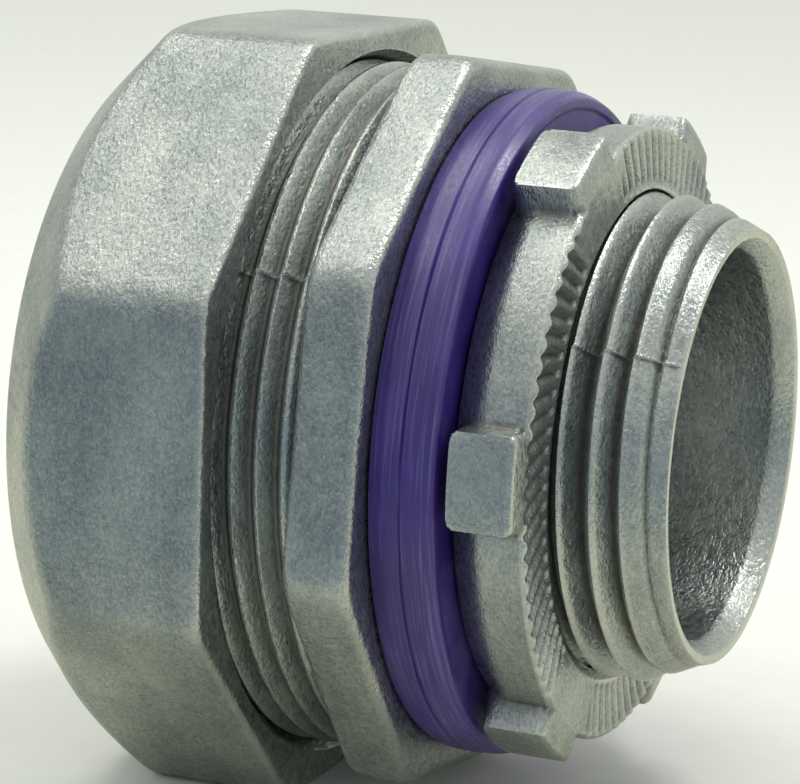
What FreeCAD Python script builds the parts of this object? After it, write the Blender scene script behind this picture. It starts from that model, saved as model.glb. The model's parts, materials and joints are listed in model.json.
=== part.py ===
"""Straight liquidtight connector for 1 in trade size flexible metal conduit.

Six separate pieces share one axis, which is +X: the threaded hub points to +X
and the conduit enters from -X.  The origin is on the axis, in the plane of the
flange face that the sealing ring seats against.  Millimetres throughout.
"""
import os
from math import cos, pi, radians, sin, tan

import FreeCAD, Part

Vec = FreeCAD.Vector
ORIGIN = Vec(0, 0, 0)
X_AXIS = Vec(1, 0, 0)
Y_AXIS = Vec(0, 1, 0)

# ---------------------------------------------------------------- driving dimensions
CONDUIT_R = 16.7          # jacket of 1 in conduit, nominal 33.4 mm outside
THROAT_R = 13.3           # wire way through the hub
ENTRY_CLEARANCE = 0.5     # conduit jacket to gland nut
GRIP_CLEARANCE = 0.25     # conduit jacket to the relaxed gland ring

HUB_LENGTH = 17.4         # flange face to hub mouth
HUB_THREAD_R = 16.65      # 1-11.5 straight pipe thread, major radius
HUB_PITCH = 25.4 / 11.5
HUB_ROOT_R = HUB_THREAD_R - 1.6
HUB_CREST_WIDTH = 0.2
HUB_CREST_X = 10.72       # one crest of the hub thread on the -Y side
HUB_MOUTH_R = 14.77
LEAD_IN_LENGTH = 4.0

GLAND_THREAD_R = 24.0     # 14 turns per inch on the rear sleeve, major radius
GLAND_PITCH = 25.4 / 14
GLAND_ROOT_R = GLAND_THREAD_R - 1.1
GLAND_CREST_WIDTH = 0.25
GLAND_CREST_X = -7.0      # one crest of the rear thread on the -Y side
SLEEVE_END_X = -19.0
SOCKET_R = 20.6
SHOULDER_X = -6.0         # ferrule seat inside the body
THREAD_CLEARANCE = 0.15   # radial at the crest, and along each flank
PROUD = 0.1               # cutting and trimming shapes reach this far past a surface

FLANGE_THICKNESS = 4.6
FLANGE_FLATS = 49.0
FLANGE_ROUND = 2.0        # cast corners between the flats
FLANGE_TURN = 15.0        # first corner, degrees from +Z towards -Y

NUT_FLATS = 52.55
NUT_ROUND = 1.2           # cast corners between the flats
NUT_TURN = 22.5           # puts one flat level underneath
NUT_FRONT_X = -9.9
NUT_REAR_X = -25.9
NUT_REAR_R = 23.1
NUT_BEVEL_LENGTH = 5.5
NUT_MOUTH_R = 24.8
NUT_WALL_X = -22.9        # inner face of the wall that pushes the gland ring
NUT_CHAMBER_LENGTH = 2.6  # unthreaded room over the sleeve end

SEAL_R = 23.05
SEAL_BACK_X = 0.15
SEAL_FRONT_X = 4.6
SEAL_BORE_R = 17.0

LOCK_BACK_X = 4.7
LOCK_FRONT_X = 10.2
LOCK_BARREL_R = 21.0
LOCK_BACK_R = 19.5
LUG_COUNT = 6
LUG_TIP_R = 22.8
LUG_HALF_ANGLE = 9.1
LUG_TURN = 28.0           # first lug, degrees from +Z towards -Y
RIB_COUNT = 90
RIB_DEPTH = 0.45

EDGE_BEVEL = 0.7          # cast rims of flange and gland nut


# ---------------------------------------------------------------- shared shapes
def turned(outline):
    """Solid of revolution about X from (x, radius) corner points."""
    points = [Vec(x, 0, r) for x, r in outline]
    face = Part.Face(Part.makePolygon(points + points[:1]))
    return face.revolve(ORIGIN, X_AXIS, 360)


def cylinder(radius, x0, x1):
    return Part.makeCylinder(radius, x1 - x0, Vec(x0, 0, 0), X_AXIS)


def polar(x, radius, angle):
    """Point at an angle in degrees, measured from +Z towards -Y."""
    return Vec(x, -radius * sin(radians(angle)), radius * cos(radians(angle)))


def thread_bore_r(root_r):
    """Bore of a nut whose thread runs in a thread of this root radius."""
    return root_r + 2.5 * THREAD_CLEARANCE


def octagon(flats, turn, corner_round, x0, x1):
    """Octagonal prism with rounded corners."""
    corner_r = flats / 2 / cos(pi / 8)
    points = [polar(x0, corner_r, turn + 45 * i) for i in range(8)]
    face = Part.Face(Part.makePolygon(points + points[:1]))
    prism = face.extrude(Vec(x1 - x0, 0, 0))
    long_edges = [e for e in prism.Edges if abs(e.tangentAt(e.FirstParameter).x) > 0.99]
    return prism.makeFillet(corner_round, long_edges)


def helical_ridge(pitch, crest_x, x0, x1, foot_r, crest_r, crest_width):
    """Right-hand 60 degree ridge on a cylinder of radius foot_r, running past x0 and x1.

    crest_x is where a crest crosses the -Y side.  The foot is sunk below
    foot_r, so that the ridge and its cylinder share no edge.
    """
    start = crest_x - 0.75 * pitch       # the sweep starts on the -Z side
    while start > x0:
        start -= pitch
    turns = int((x1 - start) / pitch) + 1
    flank_foot_r = foot_r - 0.06
    bottom_r = foot_r - 0.3
    half_crest = crest_width / 2
    half_foot = half_crest + (crest_r - flank_foot_r) * tan(radians(30))
    outline = [(bottom_r, -half_foot), (flank_foot_r, -half_foot), (crest_r, -half_crest),
               (crest_r, half_crest), (flank_foot_r, half_foot), (bottom_r, half_foot)]
    points = [Vec(r, 0, z) for r, z in outline]
    profile = Part.makePolygon(points + points[:1])
    helix = Part.Wire(Part.makeHelix(pitch, turns * pitch, foot_r).Edges)
    ridge = helix.makePipeShell([profile], True, True)
    ridge.rotate(ORIGIN, Y_AXIS, 90)
    ridge.translate(Vec(start, 0, 0))
    return ridge


def threaded_bore_tool(pitch, crest_x, x0, x1, root_r, major_r, crest_width):
    """Solid that leaves a threaded bore from x0 to x1 when it is cut away."""
    foot_r = thread_bore_r(root_r)
    ridge = helical_ridge(pitch, crest_x, x0, x1, foot_r, major_r + THREAD_CLEARANCE,
                          crest_width + 2 * THREAD_CLEARANCE)
    trim = turned([(x0, foot_r - 1), (x0, major_r + 1), (x1, major_r + 1), (x1, foot_r - 1)])
    return cylinder(foot_r, x0, x1).fuse(ridge.common(trim))


# ---------------------------------------------------------------- connector body
def lead_in_x(radius):
    """Where the hub's tapered lead-in has this radius."""
    slope = (HUB_THREAD_R - HUB_MOUTH_R) / LEAD_IN_LENGTH
    return HUB_LENGTH - (radius - HUB_MOUTH_R) / slope


def threaded_hub():
    """Hub with its outside thread, trimmed by the tapered lead-in."""
    inside_flange_x = -1.2
    thread_start_x = -1.0
    under_r = HUB_ROOT_R - 1
    last_r = HUB_ROOT_R + 0.02
    top_r = HUB_THREAD_R + PROUD
    ridge = helical_ridge(HUB_PITCH, HUB_CREST_X, thread_start_x, HUB_LENGTH + 1,
                          HUB_ROOT_R, HUB_THREAD_R, HUB_CREST_WIDTH)
    trim = turned([(thread_start_x, under_r), (thread_start_x, top_r), (lead_in_x(top_r), top_r),
                   (lead_in_x(last_r), last_r), (lead_in_x(last_r), under_r)])
    core = turned([(inside_flange_x, 0), (inside_flange_x, HUB_ROOT_R),
                   (lead_in_x(HUB_ROOT_R), HUB_ROOT_R), (HUB_LENGTH, HUB_MOUTH_R),
                   (HUB_LENGTH, 0)])
    return core.fuse(ridge.common(trim))


def threaded_sleeve():
    """Rear sleeve with its outside thread, which runs out at the flange."""
    end_bevel = 1.3
    run_out = 1.0
    top_r = GLAND_THREAD_R + PROUD
    under_r = GLAND_ROOT_R - 1
    run_out_x = -FLANGE_THICKNESS - 0.6
    inside_flange_x = -1.5
    ridge = helical_ridge(GLAND_PITCH, GLAND_CREST_X, SLEEVE_END_X - 1, -1,
                          GLAND_ROOT_R, GLAND_THREAD_R, GLAND_CREST_WIDTH)
    trim = turned([(SLEEVE_END_X, under_r), (SLEEVE_END_X, top_r - end_bevel),
                   (SLEEVE_END_X + end_bevel, top_r), (run_out_x, top_r),
                   (run_out_x + run_out, top_r - run_out),
                   (inside_flange_x, top_r - run_out), (inside_flange_x, under_r)])
    return cylinder(GLAND_ROOT_R, SLEEVE_END_X, inside_flange_x).fuse(ridge.common(trim))


def flange():
    rim_r = FLANGE_FLATS / 2 / cos(pi / 8)
    bevelled = turned([(-FLANGE_THICKNESS, 0), (-FLANGE_THICKNESS, rim_r - EDGE_BEVEL),
                       (EDGE_BEVEL - FLANGE_THICKNESS, rim_r), (-EDGE_BEVEL, rim_r),
                       (0, rim_r - EDGE_BEVEL), (0, 0)])
    blank = octagon(FLANGE_FLATS, FLANGE_TURN, FLANGE_ROUND, -FLANGE_THICKNESS, 0)
    return blank.common(bevelled)


def body_bore():
    """Socket for ferrule and gland ring, throat, and the chamfer at the hub mouth."""
    over = 1.0
    flare_r = SOCKET_R + 1.2
    flare_length = 2.2
    funnel_r = THROAT_R + 0.9
    funnel_length = 1.2
    lip_r = HUB_MOUTH_R - 0.55
    chamfer_length = 1.3
    return turned([(SLEEVE_END_X - over, 0), (SLEEVE_END_X - over, flare_r),
                   (SLEEVE_END_X, flare_r), (SLEEVE_END_X + flare_length, SOCKET_R),
                   (SHOULDER_X, SOCKET_R), (SHOULDER_X, funnel_r),
                   (SHOULDER_X + funnel_length, THROAT_R),
                   (HUB_LENGTH - chamfer_length, THROAT_R), (HUB_LENGTH, lip_r),
                   (HUB_LENGTH + over, lip_r), (HUB_LENGTH + over, 0)])


def connector_body():
    return threaded_sleeve().fuse(flange()).fuse(threaded_hub()).cut(body_bore())


# ---------------------------------------------------------------- gland nut
def nut_blank():
    corner_r = NUT_FLATS / 2 / cos(pi / 8)
    bevelled = turned([(NUT_REAR_X, 0), (NUT_REAR_X, NUT_REAR_R),
                       (NUT_REAR_X + NUT_BEVEL_LENGTH, corner_r),
                       (NUT_FRONT_X - 2 * EDGE_BEVEL, corner_r),
                       (NUT_FRONT_X, corner_r - EDGE_BEVEL), (NUT_FRONT_X, 0)])
    return octagon(NUT_FLATS, NUT_TURN, NUT_ROUND, NUT_REAR_X, NUT_FRONT_X).common(bevelled)


def nut_bore():
    """Mouth chamfer, thread root bore, chamber over the sleeve end, conduit entry."""
    over = 1.0
    root_r = thread_bore_r(GLAND_ROOT_R)
    chamber_r = GLAND_THREAD_R + THREAD_CLEARANCE + PROUD
    chamber_x = NUT_WALL_X + NUT_CHAMBER_LENGTH
    entry_r = CONDUIT_R + ENTRY_CLEARANCE
    mouth_depth = NUT_MOUTH_R - root_r
    return turned([(NUT_FRONT_X + over, 0), (NUT_FRONT_X + over, NUT_MOUTH_R),
                   (NUT_FRONT_X, NUT_MOUTH_R), (NUT_FRONT_X - mouth_depth, root_r),
                   (chamber_x, root_r), (chamber_x, chamber_r), (NUT_WALL_X, chamber_r),
                   (NUT_WALL_X, entry_r), (NUT_REAR_X - over, entry_r), (NUT_REAR_X - over, 0)])


def gland_nut():
    thread_start_x = NUT_WALL_X + 0.9
    thread_end_x = NUT_FRONT_X + 1.4
    thread = threaded_bore_tool(GLAND_PITCH, GLAND_CREST_X, thread_start_x, thread_end_x,
                                GLAND_ROOT_R, GLAND_THREAD_R, GLAND_CREST_WIDTH)
    return nut_blank().cut(nut_bore()).cut(thread)


# ---------------------------------------------------------------- inside the gland
def gland_ring():
    """Split nylon ring that the nut drives into the sleeve to grip the jacket."""
    bore_r = CONDUIT_R + GRIP_CLEARANCE
    outer_r = SOCKET_R - 0.4
    nose_x = -13.2
    nose_wall = 1.2
    nose_length = 2.4
    heel_x = NUT_WALL_X + 0.15
    heel_bevel = 0.9
    slit_width = 1.6
    ring = turned([(nose_x, bore_r), (nose_x, bore_r + nose_wall),
                   (nose_x - nose_length, outer_r), (heel_x + heel_bevel, outer_r),
                   (heel_x, outer_r - heel_bevel), (heel_x, bore_r)])
    slit = Part.makeBox(abs(heel_x - nose_x) + 2, slit_width, outer_r + 1,
                        Vec(heel_x - 1, -slit_width / 2, 0))
    return ring.cut(slit)


def ferrule():
    """Steel grounding ferrule: a seat disc and a sleeve that screws into the conduit."""
    seat_x = SHOULDER_X - 0.05
    disc_r = SOCKET_R - 0.3
    disc_x = seat_x - 1.2
    sleeve_r = 13.0
    bore_r = 12.2
    end_x = seat_x - 13.5
    edge = 0.3
    screw_pitch = 4.0
    screw_height = 0.4
    screw_crest = 0.5
    screw_margin = 3.0
    sleeve = turned([(seat_x, bore_r), (seat_x, disc_r - edge), (seat_x - edge, disc_r),
                     (disc_x, disc_r), (disc_x, sleeve_r), (end_x + edge, sleeve_r),
                     (end_x, sleeve_r - edge), (end_x, bore_r)])
    screw = helical_ridge(screw_pitch, end_x + screw_margin, end_x + screw_margin,
                          disc_x - screw_margin, sleeve_r, sleeve_r + screw_height, screw_crest)
    return sleeve.fuse(screw)


# ---------------------------------------------------------------- hub side
def sealing_ring():
    """Plastic sealing ring with a fine groove round its middle and a raised front lip."""
    groove_x = (SEAL_BACK_X + SEAL_FRONT_X) / 2
    groove = 0.22
    edge = 0.25
    lip_r = 21.9
    lip = 0.15
    return turned([(SEAL_BACK_X, SEAL_BORE_R), (SEAL_BACK_X, SEAL_R - edge),
                   (SEAL_BACK_X + edge, SEAL_R), (groove_x - groove, SEAL_R),
                   (groove_x, SEAL_R - groove), (groove_x + groove, SEAL_R),
                   (SEAL_FRONT_X - edge, SEAL_R), (SEAL_FRONT_X, SEAL_R - edge),
                   (SEAL_FRONT_X, lip_r), (SEAL_FRONT_X - lip, lip_r - lip),
                   (SEAL_FRONT_X - lip, SEAL_BORE_R)])


def lug(index):
    """One driving lug of the locknut, with bevelled ends."""
    middle = LUG_TURN + 360 / LUG_COUNT * index
    foot_r = LOCK_BARREL_R - 2.0
    back_x = LOCK_BACK_X + 0.4
    front_x = LOCK_FRONT_X - 0.1
    back_bevel = 0.4
    front_bevel = 0.3
    section = [(back_x, foot_r), (back_x, LUG_TIP_R - back_bevel),
               (back_x + back_bevel, LUG_TIP_R), (front_x - front_bevel, LUG_TIP_R),
               (front_x, LUG_TIP_R - 1.5 * front_bevel), (front_x, foot_r)]
    points = [polar(x, r, middle - LUG_HALF_ANGLE) for x, r in section]
    face = Part.Face(Part.makePolygon(points + points[:1]))
    return face.revolve(ORIGIN, X_AXIS, 2 * LUG_HALF_ANGLE)


def rib_grooves():
    """Radial V grooves in the locknut's biting face."""
    inner_r = HUB_THREAD_R
    length = LOCK_BARREL_R + PROUD - inner_r
    groove_share = 0.8        # of the rib pitch at the rim
    half_width = LOCK_BARREL_R * sin(pi / RIB_COUNT) * groove_share
    cutters = []
    for i in range(RIB_COUNT):
        corners = [Vec(LOCK_FRONT_X - RIB_DEPTH, 0, inner_r),
                   Vec(LOCK_FRONT_X + PROUD, -half_width, inner_r),
                   Vec(LOCK_FRONT_X + PROUD, half_width, inner_r)]
        face = Part.Face(Part.makePolygon(corners + corners[:1]))
        cutter = face.extrude(Vec(0, 0, length))
        cutter.rotate(ORIGIN, X_AXIS, 360 / RIB_COUNT * i)
        cutters.append(cutter)
    return Part.makeCompound(cutters)


def locknut_bore():
    over = 1.0
    lead = 1.0
    root_r = thread_bore_r(HUB_ROOT_R)
    mouth_r = HUB_THREAD_R + THREAD_CLEARANCE + PROUD
    return turned([(LOCK_BACK_X - over, 0), (LOCK_BACK_X - over, mouth_r),
                   (LOCK_BACK_X, mouth_r), (LOCK_BACK_X + lead, root_r),
                   (LOCK_FRONT_X - lead, root_r), (LOCK_FRONT_X, mouth_r),
                   (LOCK_FRONT_X + over, mouth_r), (LOCK_FRONT_X + over, 0)])


def locknut():
    back_taper = 2.0
    edge = 0.25
    barrel = turned([(LOCK_BACK_X, 0), (LOCK_BACK_X, LOCK_BACK_R),
                     (LOCK_BACK_X + back_taper, LOCK_BARREL_R),
                     (LOCK_FRONT_X - edge, LOCK_BARREL_R),
                     (LOCK_FRONT_X, LOCK_BARREL_R - edge), (LOCK_FRONT_X, 0)])
    for index in range(LUG_COUNT):
        barrel = barrel.fuse(lug(index))
    barrel = barrel.cut(locknut_bore()).cut(rib_grooves())
    thread = threaded_bore_tool(HUB_PITCH, HUB_CREST_X, LOCK_BACK_X - 1, LOCK_FRONT_X + 1,
                                HUB_ROOT_R, HUB_THREAD_R, HUB_CREST_WIDTH)
    return barrel.cut(thread)


# ---------------------------------------------------------------- output
PIECES = {
    "connector_body": connector_body,
    "gland_nut": gland_nut,
    "gland_ring": gland_ring,
    "ferrule": ferrule,
    "sealing_ring": sealing_ring,
    "locknut": locknut,
}

os.makedirs("parts", exist_ok=True)
for name, build in PIECES.items():
    solids = build().removeSplitter().Solids
    if len(solids) != 1:
        raise RuntimeError(f"{name} came out as {len(solids)} solids")
    piece = solids[0]
    if not piece.isValid():
        raise RuntimeError(f"{name} is not a valid solid")
    piece.exportStep(f"parts/{name}.step")
    box = piece.BoundBox
    print(f"{name:16s} volume {piece.Volume:9.1f}  x {box.XMin:7.2f} {box.XMax:7.2f}"
          f"  y {box.YMin:7.2f} {box.YMax:7.2f}  z {box.ZMin:7.2f} {box.ZMax:7.2f}")
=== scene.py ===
"""Looks of a straight liquidtight conduit connector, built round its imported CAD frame.

Lengths are millimetres in the frame of the part, whose axis is +X, and become metres
when a mesh is made.  Angles round the axis start at +Z and grow towards -Y.
"""
import json
import math

import bmesh
import bpy
import numpy as np
from mathutils import Matrix, Vector


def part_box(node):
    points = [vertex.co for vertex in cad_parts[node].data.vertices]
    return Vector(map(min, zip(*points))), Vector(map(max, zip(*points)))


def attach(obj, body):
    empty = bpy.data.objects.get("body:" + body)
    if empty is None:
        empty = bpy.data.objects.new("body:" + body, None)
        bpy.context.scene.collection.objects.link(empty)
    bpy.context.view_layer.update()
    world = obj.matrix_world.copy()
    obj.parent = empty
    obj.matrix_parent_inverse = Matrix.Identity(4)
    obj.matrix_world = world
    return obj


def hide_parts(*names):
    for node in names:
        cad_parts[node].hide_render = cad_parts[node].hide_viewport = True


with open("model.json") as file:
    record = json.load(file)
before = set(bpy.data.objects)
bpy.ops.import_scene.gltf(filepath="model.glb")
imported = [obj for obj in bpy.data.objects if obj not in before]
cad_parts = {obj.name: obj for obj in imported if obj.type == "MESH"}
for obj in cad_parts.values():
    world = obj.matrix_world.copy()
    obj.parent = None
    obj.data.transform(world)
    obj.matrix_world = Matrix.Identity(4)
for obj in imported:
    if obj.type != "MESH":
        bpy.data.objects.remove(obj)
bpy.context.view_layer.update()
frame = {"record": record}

MM = 0.001
TURN = 2 * math.pi


# ---------------------------------------------------------------- dimensions
def span(node):
    """A node's box in millimetres: lowest corner, highest corner."""
    low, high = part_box(node)
    return low / MM, high / MM


def bore_radius(mount_name):
    mounts = frame["record"]["mounts"]
    return next(m for m in mounts if m["name"] == mount_name)["dims"]["r_mm"]


BODY_LOW, BODY_HIGH = span("connector_body")
NUT_LOW, NUT_HIGH = span("gland_nut")
SEAL_LOW, SEAL_HIGH = span("sealing_ring")
LOCK_LOW, LOCK_HIGH = span("locknut")
GRIP_LOW, GRIP_HIGH = span("gland_ring")
FERRULE_LOW, FERRULE_HIGH = span("ferrule")

SLEEVE_END_X = BODY_LOW.x
HUB_LENGTH = BODY_HIGH.x

THROAT_R = bore_radius("throat")
ENTRY_R = bore_radius("conduit_entry")

HUB_THREAD_R = 16.65
HUB_ROOT_R = HUB_THREAD_R - 1.6
HUB_PITCH = 25.4 / 11.5
HUB_CREST_WIDTH = 0.2
HUB_CREST_X = 10.72              # one crest of the hub thread on the -Y side
HUB_MOUTH_R = 14.77
LEAD_IN_LENGTH = 4.0
HUB_LIP_WIDTH = 0.55
HUB_CHAMFER_LENGTH = 1.3
FUNNEL_HEIGHT = 0.9              # where the socket narrows into the throat
FUNNEL_LENGTH = 1.2

GLAND_THREAD_R = 24.0
GLAND_ROOT_R = GLAND_THREAD_R - 1.1
GLAND_PITCH = 25.4 / 14
GLAND_CREST_WIDTH = 0.25
GLAND_CREST_X = -7.0
SLEEVE_BEVEL = 1.3
SOCKET_R = 20.6
FLARE_HEIGHT = 1.2               # at the open end of the socket
FLARE_LENGTH = 2.2
SHOULDER_X = -6.0
GRIP_BORE_R = 16.95
THREAD_CLEARANCE = 0.15          # radial at the crest, and along each flank
MOUTH_GAP = 0.1                  # plain bores beside a nut's thread clear its crest by this

FLANGE_THICKNESS = 4.6
FLANGE_FLATS = 49.0
FLANGE_TURN = 15.0               # first corner of the flange
FLANGE_BEVEL = 0.7               # cones that trim the flange's corners
CORNER_CUT = 0.30                # rounding takes this off the corners of flange and gland nut

NUT_FLATS = 2 * NUT_HIGH.z
NUT_TURN = 22.5
NUT_REAR_R = 23.1
NUT_BEVEL_LENGTH = 5.5
NUT_MOUTH_R = 24.8
NUT_WALL = 3.0
NUT_CHAMBER_LENGTH = 2.6
NUT_REAR_MIDDLE_R = NUT_REAR_R - 2   # ring of the rear face where the mesh's loop closes

LOCK_BARREL_R = 21.0
LOCK_BACK_R = 19.5
LUG_COUNT = 6
LUG_TIP_R = 22.8
LUG_HALF_ANGLE = 9.1
LUG_TURN = 28.0                  # first lug
RIB_COUNT = 90
RIB_DEPTH = 0.42

PARTING_TURN = 59.0              # where the halves of the casting die met
DIE_MISMATCH = 0.14
THREAD_ROWS = 12                 # rows of faces per turn of thread


# ---------------------------------------------------------------- shared shapes
def smooth_min(a, b, blend):
    """The smaller value, with the corner where they cross rounded off."""
    share = np.clip(0.5 + 0.5 * (b - a) / blend, 0, 1)
    return b * (1 - share) + a * share - blend * share * (1 - share)


def smooth_max(a, b, blend):
    return -smooth_min(-a, -b, blend)


def smooth_step(value, low, high):
    share = np.clip((value - low) / (high - low), 0, 1)
    return share * share * (3 - 2 * share)


def angle_gap(angles, middle):
    """Signed difference from an angle in degrees, in degrees, from -180 to 180."""
    return (np.degrees(angles) - middle + 180) % 360 - 180


def round_angles(count, dense=()):
    """Angles of a full turn, both ends included, with extra ones near some angles."""
    steps = (-0.5, -0.25, 0, 0.25, 0.5)
    extra = [math.radians(middle + step) for middle in dense for step in steps]
    return np.unique(np.concatenate([np.linspace(0, TURN, count + 1), extra]))


def octagon_radius(angles, flats, turn, corner_cut):
    """Radius of an octagon whose corners are rounded off by corner_cut."""
    corner_r = flats / 2 / math.cos(math.pi / 8)
    power = math.log(2) / math.log(corner_r / (corner_r - corner_cut))
    middles = np.radians(turn + 22.5 + 45 * np.arange(8))
    towards = np.clip(np.cos(angles[:, None] - middles), 0, None)
    return flats / 2 / (towards ** power).sum(1) ** (1 / power)


def thread_radius(x, angles, pitch, crest_x, root_r, crest_r, crest_width, blend=0.12):
    """Radius of a right-hand 60 degree thread.  crest_x is a crest on the -Y side."""
    turns = (x - crest_x) / pitch - (angles - math.pi / 2) / TURN
    from_crest = np.abs(turns - np.round(turns)) * pitch
    flank = crest_r - (from_crest - crest_width / 2) / math.tan(math.radians(30))
    return smooth_max(smooth_min(flank, crest_r, blend), root_r, blend)


def thread_bore_radius(root_r):
    """Bore of a nut whose thread runs in a thread of this root radius."""
    return root_r + 2.5 * THREAD_CLEARANCE


def thread_rows(x0, x1, pitch, angles):
    """Axial places that climb with a thread, held between x0 and x1."""
    steps = math.ceil((x1 - x0 + pitch) / pitch * THREAD_ROWS)
    along = x0 - pitch + np.arange(steps + 1) * pitch / THREAD_ROWS
    return np.clip(along[:, None] + pitch * angles / TURN, x0, x1)


def rounded_outline(corners, segments=5):
    """Outline through (x, radius, rounding) corners, each rounded by an arc-like curve."""
    points = []
    for i, (x, r, rounding) in enumerate(corners):
        here = Vector((x, r))
        if rounding == 0 or i in (0, len(corners) - 1):
            points.append(here)
            continue
        before = Vector(corners[i - 1][:2])
        after = Vector(corners[i + 1][:2])
        start = here + (before - here).normalized() * rounding
        end = here + (after - here).normalized() * rounding
        for step in range(segments + 1):
            t = step / segments
            points.append(start * (1 - t) ** 2 + here * 2 * t * (1 - t) + end * t ** 2)
    return np.array([tuple(p) for p in points])


def turned(corners, angles):
    """Strip of plain rings along a rounded outline."""
    outline = rounded_outline(corners)
    blank = np.ones_like(angles)
    return outline[:, :1] * blank, outline[:, 1:] * blank


def between(first, last, count):
    """Strip that runs straight from one (x, radius) ring to another."""
    share = np.linspace(0, 1, count + 1)[:, None]
    x = first[0] * (1 - share) + last[0] * share
    r = first[1] * (1 - share) + last[1] * share
    return x, r


def last_ring(strip):
    return strip[0][-1:], strip[1][-1:]


def first_ring(strip):
    return strip[0][:1], strip[1][:1]


def store_bend(mesh):
    """Stores how the surface bends at each point, per mm: above 0 on ridges, below in hollows."""
    count = len(mesh.vertices)
    places = np.empty((count, 3), np.float32)
    normals = np.empty((count, 3), np.float32)
    ends = np.empty((len(mesh.edges), 2), np.int32)
    mesh.vertices.foreach_get("co", places.ravel())
    mesh.vertex_normals.foreach_get("vector", normals.ravel())
    mesh.edges.foreach_get("vertices", ends.ravel())
    first, last = ends.T
    step = places[last] - places[first]
    along = ((normals[last] - normals[first]) * step).sum(1)
    bend = np.clip(along / np.maximum((step ** 2).sum(1), 1e-12) * MM, -3, 3)
    edges_here = np.bincount(first, minlength=count) + np.bincount(last, minlength=count)
    value = (np.bincount(first, bend, count) + np.bincount(last, bend, count)) / edges_here
    for _ in range(2):
        around = np.bincount(first, value[last], count) + np.bincount(last, value[first], count)
        value = (value + around / edges_here) / 2
    mesh.attributes.new("bend", "FLOAT", "POINT").data.foreach_set("value", value.astype(np.float32))


def ring_mesh(name, strips, angles, capped=False):
    """Closed surface from strips of (x, radius) rows that follow each other round a loop."""
    x = np.vstack([strip[0] for strip in strips])
    r = np.vstack([strip[1] for strip in strips])
    points = np.stack([x, -r * np.sin(angles), r * np.cos(angles)], -1) * MM
    rows, columns = x.shape
    index = np.arange(rows * columns).reshape(rows, columns)
    quads = np.stack([index[:-1, :-1], index[1:, :-1], index[1:, 1:], index[:-1, 1:]], -1)
    faces = quads.reshape(-1, 4).tolist()
    if capped:
        faces += [index[:-1, 0].tolist(), index[:-1, -1].tolist()]
    mesh = bpy.data.meshes.new(name)
    mesh.from_pydata(points.reshape(-1, 3).tolist(), [], faces)
    work = bmesh.new()
    work.from_mesh(mesh)
    bmesh.ops.remove_doubles(work, verts=work.verts, dist=0.001 * MM)
    bmesh.ops.dissolve_degenerate(work, edges=work.edges, dist=0.0005 * MM)
    bmesh.ops.recalc_face_normals(work, faces=work.faces)
    work.to_mesh(mesh)
    work.free()
    mesh.shade_smooth()
    mesh.set_sharp_from_angle(angle=math.radians(48))
    store_bend(mesh)
    piece = bpy.data.objects.new(name, mesh)
    bpy.context.scene.collection.objects.link(piece)
    return piece


def die_step(x, r, angles, x0, x1):
    """Offsets half of a casting where its two die halves met, and leaves a thin flash line."""
    fade_length = 0.8
    flash_width = 0.35
    inside = smooth_step(x, x0, x0 + fade_length) * (1 - smooth_step(x, x1 - fade_length, x1))
    gap = angle_gap(angles, PARTING_TURN)
    half = smooth_step(gap, -0.25, 0.25) * (1 - smooth_step(gap, 179.5, 180))
    flash = (np.exp(-(gap / flash_width) ** 2)
             + np.exp(-((180 - np.abs(gap)) / flash_width) ** 2))
    x = x - DIE_MISMATCH * half * inside
    r = r - (0.5 * DIE_MISMATCH * half - 0.5 * DIE_MISMATCH * flash) * inside
    return x, r


def knocks(x, angles, seed, count, x_range, turn_spread, radius):
    """Depth of small dents that handling left on a casting, scattered round one angle."""
    random = np.random.default_rng(seed)
    depth = np.zeros_like(x)
    for _ in range(count):
        along = x - random.uniform(*x_range)
        around = np.radians(angle_gap(angles, random.normal(*turn_spread))) * radius
        lean = random.uniform(-1.2, 1.2)
        length, width = random.uniform(0.5, 1.2), random.uniform(0.25, 0.4)
        u = along * math.cos(lean) + around * math.sin(lean)
        v = around * math.cos(lean) - along * math.sin(lean)
        dent = random.uniform(0.04, 0.13) * np.exp(-(u / length) ** 2 - (v / width) ** 2)
        depth = np.maximum(depth, dent)
    return depth


# ---------------------------------------------------------------- connector body
def body_sleeve(angles):
    """Rear sleeve outside, from its end to the flange."""
    x = thread_rows(SLEEVE_END_X, -FLANGE_THICKNESS, GLAND_PITCH, angles)
    r = thread_radius(x, angles, GLAND_PITCH, GLAND_CREST_X, GLAND_ROOT_R,
                      GLAND_THREAD_R, GLAND_CREST_WIDTH)
    end_bevel = GLAND_THREAD_R - SLEEVE_BEVEL + (x - SLEEVE_END_X)
    r = smooth_min(r, end_bevel, 0.2)
    return die_step(x, r, angles, SLEEVE_END_X, -FLANGE_THICKNESS)


def body_flange(angles):
    """Rim of the octagonal flange from its rear edge to its front edge."""
    edge = 0.75
    crown_x, crown_height, crown_round = -2.4, 0.12, 0.4
    rim = rounded_outline([(-FLANGE_THICKNESS, -2 * edge, 0), (-FLANGE_THICKNESS, 0, edge),
                           (crown_x, crown_height, crown_round),
                           (0, 0, edge), (0, -2 * edge, 0)], 8)
    x = rim[:, :1] * np.ones_like(angles)
    r = rim[:, 1:] + octagon_radius(angles, FLANGE_FLATS, FLANGE_TURN, CORNER_CUT)
    corner_r = FLANGE_FLATS / 2 / math.cos(math.pi / 8)
    rear_cone = corner_r - FLANGE_BEVEL + (x + FLANGE_THICKNESS)
    front_cone = corner_r - FLANGE_BEVEL - x
    r = smooth_min(smooth_min(r, rear_cone, 0.4), front_cone, 0.4)
    marks = knocks(x, angles, seed=3, count=14, x_range=(-4.4, -0.2), turn_spread=(58, 9),
                   radius=FLANGE_FLATS / 2)
    return x, r - marks


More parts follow.
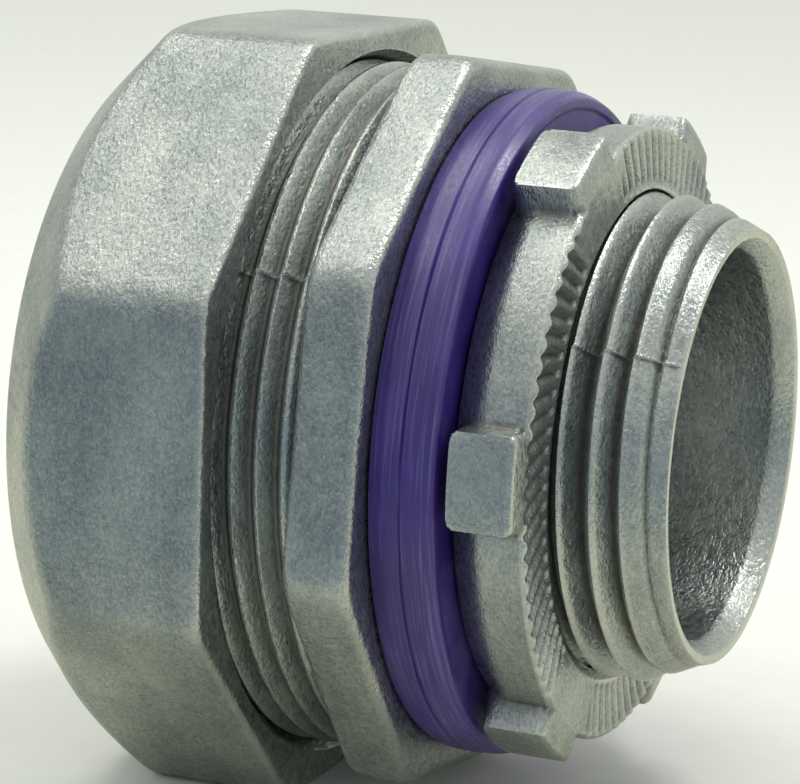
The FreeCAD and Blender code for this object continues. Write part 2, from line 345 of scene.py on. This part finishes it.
def body_hub(angles):
    """Hub outside, from the flange to the mouth."""
    x = thread_rows(0.0, HUB_LENGTH, HUB_PITCH, angles)
    r = thread_radius(x, angles, HUB_PITCH, HUB_CREST_X, HUB_ROOT_R,
                      HUB_THREAD_R, HUB_CREST_WIDTH, 0.2)
    slope = (HUB_THREAD_R - HUB_MOUTH_R) / LEAD_IN_LENGTH
    lead_in = HUB_MOUTH_R + (HUB_LENGTH - x) * slope
    r = smooth_min(r, lead_in, 0.25)
    return die_step(x, r, angles, 0.0, HUB_LENGTH)


def body_inside(angles):
    """From the mouth rim through throat and socket to the end of the sleeve."""
    lip_r = HUB_MOUTH_R - HUB_LIP_WIDTH
    return turned([(HUB_LENGTH, HUB_MOUTH_R, 0), (HUB_LENGTH, lip_r, 0.15),
                   (HUB_LENGTH - HUB_CHAMFER_LENGTH, THROAT_R, 0.3),
                   (SHOULDER_X + FUNNEL_LENGTH, THROAT_R, 0.3),
                   (SHOULDER_X, THROAT_R + FUNNEL_HEIGHT, 0.2), (SHOULDER_X, SOCKET_R, 0),
                   (SLEEVE_END_X + FLARE_LENGTH, SOCKET_R, 0.4),
                   (SLEEVE_END_X, SOCKET_R + FLARE_HEIGHT, 0.2),
                   (SLEEVE_END_X, GLAND_THREAD_R - SLEEVE_BEVEL, 0)], angles)


def connector_body():
    angles = round_angles(330, (PARTING_TURN, PARTING_TURN + 180))
    sleeve = body_sleeve(angles)
    rim = body_flange(angles)
    hub = body_hub(angles)
    inside = body_inside(angles)
    hub[1][-1] = HUB_MOUTH_R
    inside[1][-1] = sleeve[1][0]
    strips = [sleeve, between(last_ring(sleeve), first_ring(rim), 4), rim,
              between(last_ring(rim), first_ring(hub), 6), hub, inside]
    return ring_mesh("connector_body_casting", strips, angles)


# ---------------------------------------------------------------- gland nut
def nut_outside(angles):
    """Nut outside, from the rear face over bevel and octagon to the front face."""
    edge = 0.55
    bevel_reach = 7              # past here the cone lies outside every corner
    rear_x, front_x = NUT_LOW.x, NUT_HIGH.x
    bevel_end = rear_x + bevel_reach
    corner_r = NUT_FLATS / 2 / math.cos(math.pi / 8)
    slope = (corner_r - NUT_REAR_R) / NUT_BEVEL_LENGTH
    cone_end = NUT_REAR_R + slope * (bevel_end - rear_x)
    outline = rounded_outline([(rear_x, NUT_REAR_MIDDLE_R, 0), (rear_x, NUT_REAR_R, 0.8),
                               (bevel_end, cone_end, 0)], 10)
    bevel_x = np.concatenate([outline[:-1, 0], np.linspace(outline[-2, 0], bevel_end, 36)[1:]])
    bevel_r = np.interp(bevel_x, outline[:, 0], outline[:, 1])
    bevel_r[:len(outline) - 1] = outline[:-1, 1]
    front = rounded_outline([(bevel_end, 0, 0), (front_x, 0, edge), (front_x, -2 * edge, 0)], 8)
    front = np.vstack([[(x, 0) for x in np.linspace(bevel_end, front[1, 0], 20)[1:-1]], front[1:]])
    x = np.concatenate([bevel_x, front[:, 0]])
    cone = np.concatenate([bevel_r, np.full(len(front), cone_end)])
    inset = np.concatenate([np.zeros(len(bevel_x)), front[:, 1]])
    octagon = octagon_radius(angles, NUT_FLATS, NUT_TURN, CORNER_CUT)
    r = smooth_min(octagon + inset[:, None], cone[:, None] * np.ones_like(angles), 0.55)
    x = x[:, None] * np.ones_like(angles)
    bevel_marks = knocks(x, angles, seed=11, count=16, x_range=(rear_x + 1.0, rear_x + 4.5),
                         turn_spread=(66, 9), radius=corner_r)
    corner_marks = knocks(x, angles, seed=5, count=12, x_range=(rear_x + 2.0, front_x - 1),
                          turn_spread=(67.5, 2.5), radius=corner_r)
    return x, r - (bevel_marks + corner_marks)


def nut_inside(angles):
    """Mouth chamfer, thread, chamber over the sleeve end, and conduit entry."""
    root_r = thread_bore_radius(GLAND_ROOT_R)
    crest_r = GLAND_THREAD_R + THREAD_CLEARANCE
    chamber_r = crest_r + MOUTH_GAP
    thread_end_x = NUT_HIGH.x - (NUT_MOUTH_R - root_r)
    chamber_x = NUT_LOW.x + NUT_WALL + NUT_CHAMBER_LENGTH
    x = thread_rows(chamber_x, thread_end_x, GLAND_PITCH, angles)
    r = thread_radius(x, angles, GLAND_PITCH, GLAND_CREST_X, root_r, crest_r,
                      GLAND_CREST_WIDTH + 2 * THREAD_CLEARANCE)
    thread = x[::-1], r[::-1]
    wall_x = NUT_LOW.x + NUT_WALL
    entry = turned([(chamber_x, chamber_r, 0), (wall_x, chamber_r, 0.3),
                    (wall_x, ENTRY_R, 0.4), (NUT_LOW.x, ENTRY_R, 0.5),
                    (NUT_LOW.x, NUT_REAR_MIDDLE_R, 0)], angles)
    return thread, entry


def gland_nut():
    angles = round_angles(480)
    outside = nut_outside(angles)
    thread, entry = nut_inside(angles)
    mouth = np.full((1, 1), NUT_HIGH.x), np.full((1, 1), NUT_MOUTH_R) * np.ones_like(angles)
    strips = [outside, between(last_ring(outside), mouth, 6),
              between(mouth, first_ring(thread), 4), thread,
              between(last_ring(thread), first_ring(entry), 1), entry,
              between(last_ring(entry), first_ring(outside), 1)]
    return ring_mesh("gland_nut_casting", widened(strips, angles), angles)


def widened(strips, angles):
    """Strips whose x is one value per ring, spread over all the angles."""
    blank = np.ones_like(angles)
    return [(x * blank, r * blank) for x, r in strips]


# ---------------------------------------------------------------- plastic and steel pieces
def sealing_ring():
    low_x, high_x, rim_r = SEAL_LOW.x, SEAL_HIGH.x, SEAL_HIGH.z
    middle_x = (low_x + high_x) / 2
    angles = round_angles(360)
    outline = [(low_x, 17.4, 0), (low_x, rim_r - 0.4, 0), (low_x + 0.9, rim_r - 0.04, 0.25),
               (middle_x - 0.13, rim_r, 0.05), (middle_x, rim_r - 0.2, 0.03),
               (middle_x + 0.13, rim_r - 0.02, 0.05), (high_x - 0.8, rim_r - 0.1, 0.3),
               (high_x, rim_r - 0.55, 0.15), (high_x, 21.9, 0.1), (high_x - 0.15, 21.7, 0.08),
               (high_x - 0.15, 17.4, 0.3), (high_x - 0.5, 17.0, 0.1), (low_x + 0.4, 17.0, 0.2),
               (low_x, 17.4, 0)]
    return ring_mesh("sealing_ring_moulding", [turned(outline, angles)], angles)


def gland_ring():
    """Split ring; its slit faces up."""
    slit_half_width = 0.8
    heel_bevel = 0.9
    bore_bevel = 0.3
    nose_wall, nose_length = 1.2, 2.4
    tooth_count, tooth_pitch, tooth_length, tooth_depth = 4, 1.6, 1.2, 0.3
    slit_half = slit_half_width / GRIP_HIGH.z
    angles = np.linspace(slit_half, TURN - slit_half, 240)
    heel_x, nose_x, outer_r = GRIP_LOW.x, GRIP_HIGH.x, GRIP_HIGH.z
    bore_r = GRIP_BORE_R
    outline = [(heel_x, bore_r + bore_bevel, 0), (heel_x, outer_r - heel_bevel, 0.2),
               (heel_x + heel_bevel, outer_r, 0.3), (nose_x - nose_length, outer_r, 0.4),
               (nose_x, bore_r + nose_wall, 0.2), (nose_x, bore_r, 0.15),
               (nose_x - 1.0, bore_r, 0.1)]
    for tooth in range(tooth_count):
        start = nose_x - 1.2 - tooth_pitch * tooth
        outline += [(start, bore_r, 0.1), (start - 0.1, bore_r + tooth_depth, 0.1),
                    (start - tooth_length, bore_r, 0.1)]
    outline += [(heel_x + bore_bevel, bore_r, 0.1), (heel_x, bore_r + bore_bevel, 0)]
    return ring_mesh("gland_ring_moulding", [turned(outline, angles)], angles, capped=True)


def ferrule():
    """Seat disc and the sleeve with its rolled screw ridge."""
    angles = round_angles(300)
    sleeve_r, bore_r, disc = 13.0, 12.2, 1.2
    screw_pitch, screw_height, screw_crest = 4.0, 0.4, 0.5
    end_x, seat_x, disc_r = FERRULE_LOW.x, SHOULDER_X - 0.05, FERRULE_HIGH.z
    screw = thread_rows(end_x + 2.0, seat_x - disc - 1.0, screw_pitch, angles)
    ridge = thread_radius(screw, angles, screw_pitch, end_x + 3.0, sleeve_r,
                          sleeve_r + screw_height, screw_crest, 0.2)
    fade = smooth_step(screw, end_x + 2.0, end_x + 3.0)
    fade = fade * (1 - smooth_step(screw, seat_x - disc - 2.5, seat_x - disc - 1.2))
    ridge = sleeve_r + (ridge - sleeve_r) * fade
    back = turned([(seat_x - disc - 1.0, sleeve_r, 0), (seat_x - disc, sleeve_r, 0.3),
                   (seat_x - disc, disc_r, 0.25), (seat_x, disc_r, 0.25), (seat_x, bore_r, 0.4),
                   (end_x, bore_r, 0.2), (end_x, sleeve_r, 0.3), (end_x + 2.0, sleeve_r, 0)],
                  angles)
    return ring_mesh("ferrule_steel", [(screw, ridge), back], angles)


# ---------------------------------------------------------------- locknut
def lug_share(x, angles, index):
    """1 on top of a lug and 0 off it, with a rounded outline and short steep walls."""
    corner = 1.0
    back_x, front_x = LOCK_LOW.x + 0.4, LOCK_HIGH.x
    half_length = (front_x - back_x) / 2
    half_width = math.radians(LUG_HALF_ANGLE) * LUG_TIP_R
    across = np.radians(angle_gap(angles, LUG_TURN + index * 360 / LUG_COUNT)) * LUG_TIP_R
    over_x = np.abs(x - (back_x + front_x) / 2) - (half_length - corner)
    over_s = np.abs(across) - (half_width - corner) + 0 * x
    outside = np.hypot(np.clip(over_x, 0, None), np.clip(over_s, 0, None))
    distance = outside + np.minimum(np.maximum(over_x, over_s), 0) - corner
    return smooth_step(-distance, -0.05, 0.4)


def rib_strength(angles):
    """Depth of the ribs round the face: every second lug has a nearly smooth landing."""
    left_over = 0.12
    strength = np.ones_like(angles)
    for index in range(0, LUG_COUNT, 2):
        gap = np.abs(angle_gap(angles, LUG_TURN + index * 360 / LUG_COUNT))
        strength *= left_over + (1 - left_over) * smooth_step(gap, LUG_HALF_ANGLE + 2, LUG_HALF_ANGLE + 6)
    return strength


def ribbed(x, r, angles):
    """Presses slanting ribs into the front face, out through its edge."""
    slant = 1.0
    turn = np.degrees(angles) + slant * (LOCK_BARREL_R - r)
    valley = 1 - np.abs(np.cos(np.radians(turn * RIB_COUNT / 2)))
    depth = RIB_DEPTH * valley * rib_strength(angles)
    across = smooth_step(r, 17.15, 17.5) * (1 - smooth_step(r, LOCK_BARREL_R - 0.5, LOCK_BARREL_R + 0.1))
    return x - depth * across * smooth_step(x, LOCK_HIGH.x - 0.7, LOCK_HIGH.x - 0.1), r


def locknut_outside(angles):
    """Barrel and lugs, from the back face to the ribbed front face."""
    back_x, front_x = LOCK_LOW.x, LOCK_HIGH.x
    places = np.concatenate([np.linspace(back_x, back_x + 0.9, 16),
                             np.linspace(back_x + 0.9, front_x - 1.2, 22)[1:],
                             np.linspace(front_x - 1.2, front_x, 24)[1:]])
    x = places[:, None] * np.ones_like(angles)
    rear_slope = 0.75
    edge, lug_edge = 0.25, 0.5
    rear_cone = LOCK_BACK_R + (x - back_x) * rear_slope
    front_cone = LOCK_BARREL_R - edge + (front_x - x)
    r = smooth_min(smooth_min(rear_cone, LOCK_BARREL_R, 0.5), front_cone, 0.2)
    lug_top = smooth_min(LUG_TIP_R, LUG_TIP_R - lug_edge + (front_x - x), 0.3)
    for index in range(LUG_COUNT):
        r = r + lug_share(x, angles, index) * np.clip(lug_top - r, 0, None)
    return ribbed(x, r, angles)


def locknut():
    angles = round_angles(720)
    mouth_slope = 1.5
    inner_r = HUB_THREAD_R + THREAD_CLEARANCE + MOUTH_GAP
    root_r = thread_bore_radius(HUB_ROOT_R)
    outside = locknut_outside(angles)
    edge_x, edge_r = last_ring(outside)
    face_r = np.linspace(1, 0, 20)[:, None] * (edge_r - inner_r) + inner_r
    face_x = LOCK_HIGH.x * np.ones_like(face_r)
    face = ribbed(face_x, face_r, angles)
    face[0][0], face[1][0] = edge_x, edge_r
    x = thread_rows(LOCK_LOW.x, LOCK_HIGH.x, HUB_PITCH, angles)[::-1]
    r = thread_radius(x, angles, HUB_PITCH, HUB_CREST_X, root_r, inner_r - MOUTH_GAP,
                      HUB_CREST_WIDTH + 2 * THREAD_CLEARANCE)
    mouth = inner_r - mouth_slope * np.minimum(x - LOCK_LOW.x, LOCK_HIGH.x - x)
    r = np.maximum(r, mouth)
    r[0] = r[-1] = inner_r
    back = between((x[-1:], r[-1:]), first_ring(outside), 4)
    return ring_mesh("locknut_casting", [outside, face, (x, r), back], angles)


# ---------------------------------------------------------------- materials
def add_node(tree, kind, inputs=None, **settings):
    made = tree.nodes.new("ShaderNode" + kind)
    for key, value in settings.items():
        setattr(made, key, value)
    for key, value in (inputs or {}).items():
        if isinstance(value, bpy.types.NodeSocket):
            tree.links.new(value, made.inputs[key])
        else:
            made.inputs[key].default_value = value
    return made


def new_material(name):
    material = bpy.data.materials.new(name)
    material.use_nodes = True
    tree = material.node_tree
    return material, tree, tree.nodes["Principled BSDF"].inputs


def stretched_coordinates(tree, along, around):
    """Coordinates of the part with its own stretch along the axis and across it."""
    place = add_node(tree, "TexCoord").outputs["Object"]
    mapping = add_node(tree, "Mapping", {"Vector": place, "Scale": (along, around, around)})
    return mapping.outputs["Vector"]


def noise(tree, where, size_mm, detail=3.0, roughness=0.6, distortion=0.0):
    """Noise whose features are about size_mm across."""
    made = add_node(tree, "TexNoise", {"Vector": where, "Scale": 1 / (size_mm * MM),
                                       "Detail": detail, "Roughness": roughness,
                                       "Distortion": distortion})
    return made.outputs["Fac"]


def remap(tree, value, low, high, to_low=0.0, to_high=1.0):
    made = add_node(tree, "MapRange", {"Value": value, "From Min": low, "From Max": high,
                                       "To Min": to_low, "To Max": to_high})
    return made.outputs["Result"]


def combine(tree, operation, a, b):
    return add_node(tree, "Math", {0: a, 1: b}, operation=operation).outputs[0]


def mix_colours(tree, share, a, b, blend="MIX"):
    made = tree.nodes.new("ShaderNodeMix")
    made.data_type = "RGBA"
    made.blend_type = blend
    for socket, value in (("Factor_Float", share), ("A_Color", a), ("B_Color", b)):
        target = next(i for i in made.inputs if i.identifier == socket)
        if isinstance(value, bpy.types.NodeSocket):
            tree.links.new(value, target)
        else:
            target.default_value = value
    return next(o for o in made.outputs if o.identifier == "Result_Color")


def cast_metal(name, dark, pale, grain_mm=0.30, relief_mm=0.05, rough=(0.19, 0.36)):
    """Die-cast zinc: orange-peel skin, cloudy tone, painted shade in the hollows, painted highlights on
    ridges and edges.
    """
    # colours of the painted shade in hollows and of the painted highlight on ridges and edges
    painted_hollow_shade, painted_edge_highlight = (0.115, 0.105, 0.090, 1), (0.80, 0.80, 0.77, 1)
    mottle_mm, cloud_mm = 0.9, 9.0
    material, tree, surface = new_material(name)
    where = stretched_coordinates(tree, 1.6, 1.0)
    grain = noise(tree, where, grain_mm, 2.5, 0.65)
    mottle = noise(tree, where, mottle_mm, 3.0, 0.6)
    cloud = noise(tree, where, cloud_mm, 4.0, 0.6)
    bend = add_node(tree, "Attribute", attribute_name="bend").outputs["Fac"]
    edge = remap(tree, bend, 0.20, 1.0)
    hollow = remap(tree, bend, -0.15, -0.9)

    patches = combine(tree, "ADD", cloud, combine(tree, "MULTIPLY", mottle, 0.3))
    tone = combine(tree, "MULTIPLY", combine(tree, "ADD", patches, grain), 1 / 2.3)
    colour = mix_colours(tree, remap(tree, tone, 0.40, 0.62), dark, pale)
    # painted shade: hollows and thread roots are darkened towards dark brown
    colour = mix_colours(tree, combine(tree, "MULTIPLY", hollow, 0.75), colour, painted_hollow_shade)
    # painted highlight: ridges, thread crests and edges are lightened towards pale grey
    colour = mix_colours(tree, combine(tree, "MULTIPLY", edge, 0.3), colour, painted_edge_highlight)
    tree.links.new(colour, surface["Base Color"])

    roughness = remap(tree, combine(tree, "SUBTRACT", mottle, combine(tree, "MULTIPLY", edge, 0.3)),
                      0.25, 0.7, rough[0], rough[1])
    roughness = combine(tree, "ADD", roughness, combine(tree, "MULTIPLY", hollow, 0.25))
    tree.links.new(roughness, surface["Roughness"])
    height = combine(tree, "ADD", grain, combine(tree, "MULTIPLY", mottle, 1.2))
    bump = add_node(tree, "Bump", {"Height": height, "Strength": 1.0, "Distance": relief_mm * MM})
    tree.links.new(bump.outputs["Normal"], surface["Normal"])
    surface["Metallic"].default_value = 0.92
    return material


def violet_plastic():
    """Smooth tinted sealing plastic with fine turning lines round it."""
    deep, clear, scored = (0.036, 0.012, 0.190, 1), (0.058, 0.024, 0.270, 1), (0.24, 0.20, 0.50, 1)
    material, tree, surface = new_material("violet_plastic")
    place = add_node(tree, "TexCoord").outputs["Object"]
    lines_place = add_node(tree, "Mapping", {"Vector": place, "Scale": (1, 0.02, 0.02)})
    lines = noise(tree, lines_place.outputs["Vector"], 0.22, 3.0, 0.7)
    cloud = noise(tree, place, 5.0, 3.0, 0.6)
    fine = noise(tree, place, 0.25, 2.0, 0.6)
    colour = mix_colours(tree, remap(tree, cloud, 0.35, 0.65), deep, clear)
    colour = mix_colours(tree, combine(tree, "MULTIPLY", remap(tree, lines, 0.5, 0.75), 0.6),
                         colour, scored)
    tree.links.new(colour, surface["Base Color"])
    tree.links.new(remap(tree, fine, 0.3, 0.7, 0.28, 0.44), surface["Roughness"])
    height = combine(tree, "ADD", lines, combine(tree, "MULTIPLY", fine, 0.4))
    bump = add_node(tree, "Bump", {"Height": height, "Strength": 0.6, "Distance": 0.025 * MM})
    tree.links.new(bump.outputs["Normal"], surface["Normal"])
    surface["Specular IOR Level"].default_value = 0.7
    surface["IOR"].default_value = 1.55
    return material


def nylon():
    """Milky moulded nylon of the split ring."""
    material, tree, surface = new_material("nylon")
    place = add_node(tree, "TexCoord").outputs["Object"]
    cloud = noise(tree, place, 4.0, 3.0, 0.6)
    fine = noise(tree, place, 0.3, 2.0, 0.6)
    colour = mix_colours(tree, remap(tree, cloud, 0.35, 0.65), (0.66, 0.64, 0.57, 1),
                         (0.74, 0.72, 0.65, 1))
    tree.links.new(colour, surface["Base Color"])
    tree.links.new(remap(tree, fine, 0.3, 0.7, 0.38, 0.52), surface["Roughness"])
    bump = add_node(tree, "Bump", {"Height": fine, "Strength": 0.4, "Distance": 0.02 * MM})
    tree.links.new(bump.outputs["Normal"], surface["Normal"])
    surface["Subsurface Weight"].default_value = 0.15
    surface["Subsurface Scale"].default_value = 0.001
    return material


def plated_steel():
    """Bright zinc-plated pressed steel with faint draw lines."""
    material, tree, surface = new_material("plated_steel")
    place = add_node(tree, "TexCoord").outputs["Object"]
    lines_place = add_node(tree, "Mapping", {"Vector": place, "Scale": (0.15, 1, 1)})
    lines = noise(tree, lines_place.outputs["Vector"], 0.3, 3.0, 0.6)
    cloud = noise(tree, place, 3.0, 3.0, 0.6)
    colour = mix_colours(tree, remap(tree, cloud, 0.35, 0.65), (0.50, 0.52, 0.54, 1),
                         (0.64, 0.64, 0.60, 1))
    tree.links.new(colour, surface["Base Color"])
    tree.links.new(remap(tree, lines, 0.3, 0.7, 0.22, 0.36), surface["Roughness"])
    bump = add_node(tree, "Bump", {"Height": lines, "Strength": 0.4, "Distance": 0.015 * MM})
    tree.links.new(bump.outputs["Normal"], surface["Normal"])
    surface["Metallic"].default_value = 1.0
    return material


# ---------------------------------------------------------------- stage
def floor_material():
    """Plain pale paper to the camera; reflections see it painted darker, olive beneath and bluer in
    front, which paints shade on the metal's lower and front faces.
    """
    looks, beneath, in_front = (0.95, 0.95, 0.95, 1), (0.80, 0.80, 0.68, 1), (0.26, 0.33, 0.40, 1)
    material, tree, surface = new_material("pale_floor")
    seen = add_node(tree, "LightPath").outputs["Is Camera Ray"]
    place = add_node(tree, "TexCoord").outputs["Object"]
    paper = remap(tree, noise(tree, place, 3.0), 0.3, 0.7, 0.97, 1.0)
    forward = remap(tree, add_node(tree, "SeparateXYZ", {"Vector": place}).outputs["Y"], -0.02, -0.09)
    # painted reflection: the metal mirrors these darker colours instead of the pale floor, darkening its
    # lower and front faces
    painted_reflection = mix_colours(tree, forward, beneath, in_front)
    colour = mix_colours(tree, seen, painted_reflection, looks)
    grey = add_node(tree, "CombineColor", {"Red": paper, "Green": paper, "Blue": paper})
    colour = mix_colours(tree, 1.0, colour, grey.outputs["Color"], "MULTIPLY")
    tree.links.new(colour, surface["Base Color"])
    surface["Roughness"].default_value = 0.9
    surface["Specular IOR Level"].default_value = 0.1
    return material


def floor():
    half = 4.0
    height = NUT_LOW.z * MM
    mesh = bpy.data.meshes.new("floor")
    corners = [(-half, -half), (half, -half), (half, half), (-half, half)]
    mesh.from_pydata([(x, y, height) for x, y in corners], [], [(0, 1, 2, 3)])
    plane = bpy.data.objects.new("floor", mesh)
    plane.data.materials.append(floor_material())
    bpy.context.scene.collection.objects.link(plane)


def softbox(name, place, aim, size, radiance, colour):
    """Rectangular area light of a given brightness, not seen by the camera itself."""
    light = bpy.data.lights.new(name, "AREA")
    light.shape = "RECTANGLE"
    light.size, light.size_y = size
    light.energy = radiance * math.pi * size[0] * size[1]
    light.color = colour
    lamp = bpy.data.objects.new(name, light)
    lamp.location = place
    lamp.rotation_mode = "QUATERNION"
    lamp.rotation_quaternion = (Vector(aim) - Vector(place)).to_track_quat("-Z", "Y")
    lamp.visible_camera = False
    bpy.context.scene.collection.objects.link(lamp)


def room_light():
    """Dim room, cooler in front and paler towards the ceiling, plain grey to the camera itself."""
    front, back, ceiling = (0.22, 0.28, 0.34, 1), (0.74, 0.78, 0.70, 1), (0.84, 0.86, 0.76, 1)
    world = bpy.data.worlds.new("room")
    world.use_nodes = True
    tree = world.node_tree
    direction = add_node(tree, "TexCoord").outputs["Generated"]
    parts = add_node(tree, "SeparateXYZ", {"Vector": direction}).outputs
    rise = remap(tree, parts["Z"], -0.1, 0.9)
    depth = remap(tree, parts["Y"], -0.9, 0.9)
    level = mix_colours(tree, depth, front, back)
    colour = mix_colours(tree, rise, level, ceiling)
    seen = add_node(tree, "LightPath").outputs["Is Camera Ray"]
    colour = mix_colours(tree, seen, colour, (0.9, 0.9, 0.9, 1))
    tree.links.new(colour, tree.nodes["Background"].inputs["Color"])
    bpy.context.scene.world = world


def lights():
    room_light()
    warm, neutral = (1.0, 0.985, 0.90), (1.0, 0.99, 0.95)
    part = (0, 0, 0)
    softbox("overhead", (-0.17, 0.06, 0.42), part, (0.20, 0.14), 3.1, warm)
    softbox("front_top", (-0.17, -0.15, 0.40), part, (0.12, 0.08), 4.0, warm)
    softbox("hub_side", (0.155, 0.12, 0.43), part, (0.13, 0.10), 14.0, neutral)


def camera():
    """Long lens, looking down a little from the front and the hub side, slightly rolled."""
    azimuth, elevation, roll = map(math.radians, (22.318, 11.704, 2.206))
    distance = 0.23082
    aim = Vector((-0.0032, 0, 0))
    shift_right, shift_up = -0.00368, 0.001411
    back = Vector((math.sin(azimuth) * math.cos(elevation),
                   -math.cos(azimuth) * math.cos(elevation), math.sin(elevation)))
    level = Vector((math.cos(azimuth), math.sin(azimuth), 0))
    upright = back.cross(level)
    right = level * math.cos(roll) + upright * math.sin(roll)
    up = upright * math.cos(roll) - level * math.sin(roll)
    data = bpy.data.cameras.new("camera")
    data.lens = 148.7
    data.sensor_width = 36
    data.clip_start, data.clip_end = 0.01, 20
    view = bpy.data.objects.new("camera", data)
    turn = Matrix((right, up, back)).transposed().to_4x4()
    view.matrix_world = Matrix.Translation(aim + right * shift_right + up * shift_up
                                           + back * distance) @ turn
    bpy.context.scene.collection.objects.link(view)
    bpy.context.scene.camera = view


# ---------------------------------------------------------------- assembly
def dress(piece, node, body, material):
    piece.data.materials.append(material)
    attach(piece, body)
    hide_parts(node)


def assemble():
    zinc_dark, zinc_pale = (0.27, 0.30, 0.32, 1), (0.55, 0.575, 0.56, 1)
    nut_zinc = cast_metal("nut_zinc", zinc_dark, zinc_pale, 0.32, 0.095)
    body_zinc = cast_metal("body_zinc", zinc_dark, zinc_pale, 0.30, 0.080)
    locknut_zinc = cast_metal("locknut_zinc", zinc_dark, zinc_pale, 0.28, 0.060)
    dress(connector_body(), "connector_body", "body", body_zinc)
    dress(gland_nut(), "gland_nut", "gland_nut", nut_zinc)
    dress(locknut(), "locknut", "locknut", locknut_zinc)
    dress(sealing_ring(), "sealing_ring", "sealing_ring", violet_plastic())
    dress(gland_ring(), "gland_ring", "gland_ring", nylon())
    dress(ferrule(), "ferrule", "ferrule", plated_steel())


assemble()
floor()
lights()
camera()
bpy.context.scene.view_settings.view_transform = "Standard"
